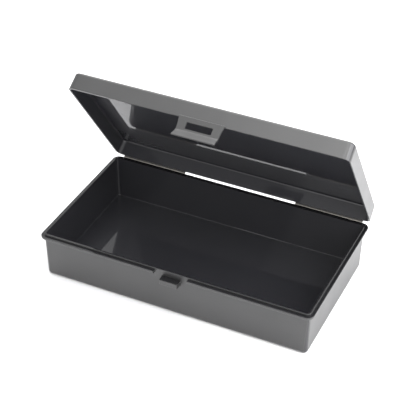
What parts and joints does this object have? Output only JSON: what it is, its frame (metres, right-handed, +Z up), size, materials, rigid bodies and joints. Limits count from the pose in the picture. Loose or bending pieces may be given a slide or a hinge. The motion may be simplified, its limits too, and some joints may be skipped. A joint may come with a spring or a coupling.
{
  "type": "hinged plastic box",
  "caption": "Long rectangular plastic box with a deep tray, a shallow lid on living-hinge strips along the back, and a slotted front clasp that snaps over a catch.",
  "frame": {"origin": "on the surface the box stands on, under the middle of the base's long and short sides", "axes": "+Z up out of the tray, +X along the long side to the right when the clasp faces the viewer, +Y from the clasp side to the hinge side"},
  "size_m": [0.18, 0.1121, 0.118],
  "materials": {
    "black_plastic": "injection-moulded polypropylene, satin outside and polished inside",
    "hinge_strip": "same plastic, thinned to a flexing strip and slightly paled by bending"
  },
  "bodies": {
    "base": {"base_tray": "black_plastic", "catch_lug": "black_plastic", "hinge_strip_left_base_half": "hinge_strip", "hinge_strip_right_base_half": "hinge_strip"},
    "lid": {"lid_shell": "black_plastic", "hinge_strip_left_lid_half": "hinge_strip", "hinge_strip_right_lid_half": "hinge_strip"},
    "clasp": {"latch_clasp": "black_plastic"}
  },
  "joints": [
    {"name": "lid_hinge", "type": "hinge", "parent": "base", "child": "lid", "pos_m": [0, 0.05075, 0.0292], "axis": [-1, 0, 0], "range_deg": [-55, 125]},
    {"name": "clasp_hinge", "type": "hinge", "parent": "lid", "child": "clasp", "pos_m": [0, -0.00639, 0.11316], "axis": [-1, 0, 0], "range_deg": [0, 100], "stiffness_Nm_per_rad": 0.002}
  ]
}
